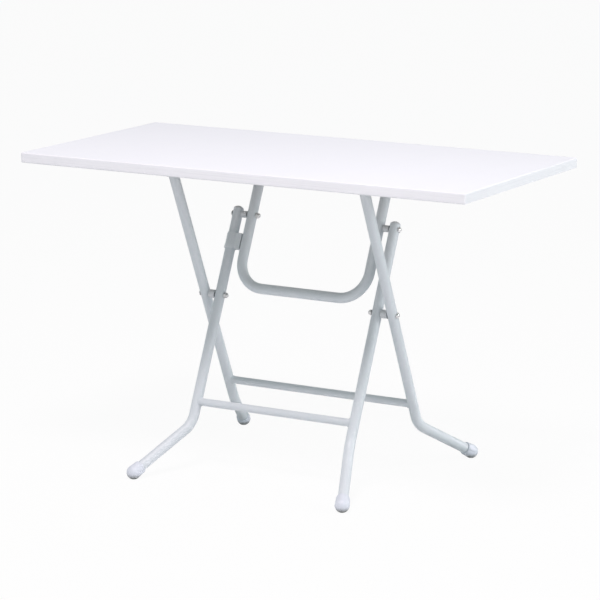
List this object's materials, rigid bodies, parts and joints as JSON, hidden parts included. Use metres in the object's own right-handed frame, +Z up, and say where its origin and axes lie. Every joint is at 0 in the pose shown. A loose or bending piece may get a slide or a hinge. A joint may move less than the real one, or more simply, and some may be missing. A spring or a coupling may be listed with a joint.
{
  "type": "folding table",
  "caption": "Rectangular folding table: laminated top on a scissor frame of bent steel tube, held open by a U-shaped stay and a lock sleeve on one leg.",
  "frame": {"origin": "on the floor, under the middle of the tabletop", "axes": "+X along the tabletop's length, +Y from front to back, +Z up"},
  "size_m": [1.2, 0.62, 0.775],
  "materials": {
    "board": "particleboard",
    "top_laminate": "satin white laminate",
    "backing": "matt backing sheet",
    "edge_band": "satin moulded edging",
    "bracket_steel": "zinc plated",
    "fasteners": "zinc plated",
    "tube_paint": "light grey powder coat",
    "foot_plastic": "moulded, slightly glossy",
    "plug_plastic": "moulded",
    "spacer_plastic": "moulded",
    "lock_plastic": "moulded"
  },
  "bodies": {
    "tabletop": {"tabletop_core": "board", "top_laminate": "top_laminate", "under_laminate": "backing", "edge_band": "edge_band", "leg_hinge_bracket_left": "bracket_steel", "leg_hinge_bracket_right": "bracket_steel", "stay_hinge_bracket_left": "bracket_steel", "stay_hinge_bracket_right": "bracket_steel", "hinge_rivets": "fasteners", "bracket_screws": "fasteners"},
    "outer_frame": {"outer_leg_left": "tube_paint", "outer_leg_right": "tube_paint", "outer_crossbar": "tube_paint", "outer_foot_left": "foot_plastic", "outer_foot_right": "foot_plastic", "scissor_bolts": "fasteners", "scissor_spacers": "spacer_plastic", "scissor_washers": "fasteners", "scissor_nuts": "fasteners"},
    "inner_frame": {"inner_leg_left": "tube_paint", "inner_leg_right": "tube_paint", "inner_crossbar": "tube_paint", "inner_foot_left": "foot_plastic", "inner_foot_right": "foot_plastic", "inner_leg_caps": "plug_plastic", "stay_bolts": "fasteners", "stay_spacers": "spacer_plastic", "stay_bolt_washers": "fasteners"},
    "swing_stay": {"stay_tube": "tube_paint", "stay_studs": "fasteners", "stay_nut_washers": "fasteners", "stay_nuts": "fasteners"},
    "lock": {"lock_sleeve": "lock_plastic"}
  },
  "joints": [
    {"name": "table_fold", "type": "hinge", "parent": "tabletop", "child": "outer_frame", "pos_m": [0, -0.144, 0.73], "axis": [1, 0, 0], "range_deg": [0, 59.45]},
    {"name": "scissor_pivot", "type": "hinge", "parent": "outer_frame", "child": "inner_frame", "pos_m": [0, 0, 0.40958], "axis": [1, 0, 0], "range_deg": [0, 43.49]},
    {"name": "stay_swing", "type": "hinge", "parent": "tabletop", "child": "swing_stay", "pos_m": [0, 0.144, 0.73], "axis": [1, 0, 0], "range_deg": [-66.52, 0]},
    {"name": "lock_slide", "type": "slide", "parent": "inner_frame", "child": "lock", "axis": [0, -0.4099, -0.9121], "range_m": [0, 0.03]}
  ],
  "couplings": [
    {"joint": "scissor_pivot", "follows": "table_fold", "ratio": 0.73154},
    {"joint": "stay_swing", "follows": "table_fold", "ratio": -1.1189}
  ]
}
